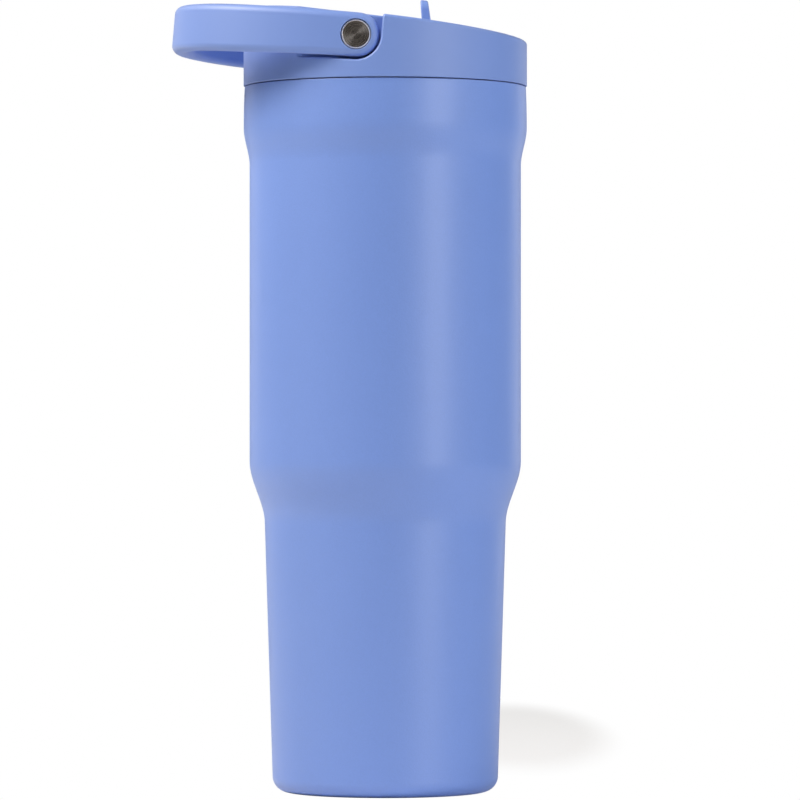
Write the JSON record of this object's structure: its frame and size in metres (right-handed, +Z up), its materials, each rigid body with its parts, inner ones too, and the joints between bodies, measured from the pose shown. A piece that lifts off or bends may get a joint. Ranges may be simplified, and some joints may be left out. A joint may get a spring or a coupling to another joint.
{
  "type": "insulated straw tumbler jug",
  "caption": "Insulated steel water jug with a screw-in slanted lid, a flip-up straw spout with a thumb tab and a swinging carry loop; slim base for a cup holder.",
  "frame": {"origin": "centre of the flat face the jug stands on, on the axis of the round body", "axes": "+Z up along the body's axis; -X toward the carry loop, +X toward the thumb tab end of the folded spout; the loop's two pivots face -Y and +Y"},
  "size_m": [0.1145, 0.0914, 0.2553],
  "materials": {
    "powder_coat_blue": "fine powder coat",
    "liner_steel": "electropolished",
    "seal_glass": "fused bead",
    "getter_metal": "sintered",
    "lid_plastic_blue": "smooth matte",
    "silicone": "matte",
    "silicone_blue": "matte",
    "straw_plastic": "translucent satin",
    "pivot_steel": "machined",
    "bush_plastic": "natural",
    "cap_steel": "radially brushed, bright chamfer"
  },
  "bodies": {
    "bottle": {"outer_shell": "powder_coat_blue", "inner_liner": "liner_steel", "bottom_disc": "liner_steel", "vacuum_seal_plug": "seal_glass", "getter": "getter_metal", "base_cap": "liner_steel"},
    "lid_seal": {"rim_gasket": "silicone"},
    "lid": {"lid_shell": "lid_plastic_blue", "lid_plug": "lid_plastic_blue", "vent_valve": "silicone", "spout_seal": "silicone", "straw_bushing": "silicone", "straw": "straw_plastic", "pivot_screw_near": "pivot_steel", "pivot_bush_near": "bush_plastic", "pivot_cap_near": "cap_steel", "pivot_screw_far": "pivot_steel", "pivot_bush_far": "bush_plastic", "pivot_cap_far": "cap_steel"},
    "spout": {"spout": "lid_plastic_blue", "spout_tip": "silicone_blue"},
    "handle": {"carry_handle": "lid_plastic_blue"}
  },
  "joints": [
    {"name": "lid_lift", "type": "slide", "parent": "bottle", "child": "lid_seal", "axis": [0, 0, 1], "range_m": [0, 0.009]},
    {"name": "lid_turn", "type": "hinge", "parent": "lid_seal", "child": "lid", "pos_m": [0, 0, 0.2272], "axis": [0, 0, 1], "range_deg": [0, 405]},
    {"name": "spout_flip", "type": "hinge", "parent": "lid", "child": "spout", "pos_m": [-0.012, 0, 0.24217], "axis": [0, -1, 0], "range_deg": [0, 96.7]},
    {"name": "handle_swing", "type": "hinge", "parent": "lid", "child": "handle", "pos_m": [-0.0091, 0, 0.2409], "axis": [0, 1, 0], "range_deg": [0, 90]}
  ],
  "couplings": [
    {"joint": "lid_lift", "follows": "lid_turn", "m_per_rad": 0.0012732}
  ]
}
